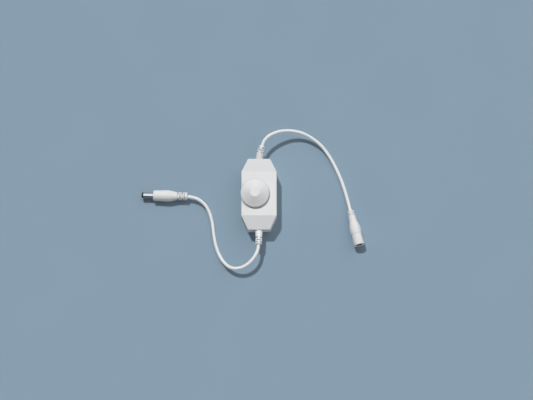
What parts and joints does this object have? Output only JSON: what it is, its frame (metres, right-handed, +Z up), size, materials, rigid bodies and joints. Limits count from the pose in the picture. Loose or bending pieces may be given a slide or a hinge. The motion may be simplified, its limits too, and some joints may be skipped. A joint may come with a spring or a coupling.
{
  "type": "inline rotary dimmer",
  "caption": "Inline rotary dimmer: a faceted white case with a large offset knob, moulded strain reliefs, an output lead with a barrel plug and an input lead with a barrel jack.",
  "frame": {"origin": "centre of the flat base of the case", "axes": "+Z up through the knob; +Y along the case to the end where the input lead leaves; +X to the side away from the knob's offset"},
  "size_m": [0.2212, 0.142, 0.0283],
  "materials": {
    "case_plastic": "satin with a fine moulded texture",
    "knob_plastic": "satin with a fine moulded texture",
    "lead_sheath": "smooth flexible vinyl",
    "moulded_grip": "satin flexible vinyl",
    "screw_steel": "zinc plated",
    "pot_steel": "tinned",
    "shaft_metal": "turned",
    "spring_steel": "rolled",
    "pot_rotor": "moulded",
    "phenolic": "pressed board",
    "carbon_track": "printed ink",
    "bronze": "rolled",
    "board_laminate": "green solder mask",
    "black_epoxy": "moulded",
    "tinned_metal": "tinned",
    "capacitor_sleeve": "shrunk sleeve",
    "ceramic": "fired",
    "red_insulation": "vinyl",
    "black_insulation": "vinyl",
    "barrel_plating": "nickel plated",
    "black_insulator": "moulded",
    "contact_plating": "plated"
  },
  "bodies": {
    "case": {"top_cover": "case_plastic", "bottom_cover": "case_plastic", "case_screws": "screw_steel", "potentiometer_wafer": "phenolic", "potentiometer_track": "carbon_track", "potentiometer_can": "pot_steel", "potentiometer_collar": "pot_steel", "potentiometer_terminals": "tinned_metal", "circuit_board": "board_laminate", "power_transistor": "black_epoxy", "timer_chip": "black_epoxy", "electrolytic_capacitor": "capacitor_sleeve", "ceramic_capacitors": "ceramic", "resistors": "black_epoxy", "diode": "black_epoxy", "input_positive_wire": "red_insulation", "input_negative_wire": "black_insulation", "output_positive_wire": "red_insulation", "output_negative_wire": "black_insulation", "solder_joints": "tinned_metal", "input_strain_relief": "moulded_grip", "output_strain_relief": "moulded_grip", "input_cord": "lead_sheath", "output_cord": "lead_sheath", "plug_body": "moulded_grip", "plug_sleeve": "barrel_plating", "plug_insulator": "black_insulator", "plug_contact": "contact_plating", "jack_body": "moulded_grip", "jack_liner": "black_insulator", "jack_centre_pin": "contact_plating", "jack_spring_contact": "spring_steel"},
    "knob": {"rotary_knob": "knob_plastic", "knob_spring_clip": "spring_steel", "potentiometer_shaft": "shaft_metal", "shaft_snap_ring": "spring_steel", "potentiometer_rotor": "pot_rotor", "potentiometer_wiper": "bronze"}
  },
  "joints": [
    {"name": "knob_turn", "type": "hinge", "parent": "case", "child": "knob", "pos_m": [-0.004, 0, 0.0194], "axis": [0, 0, 1], "range_deg": [-150, 150]}
  ]
}
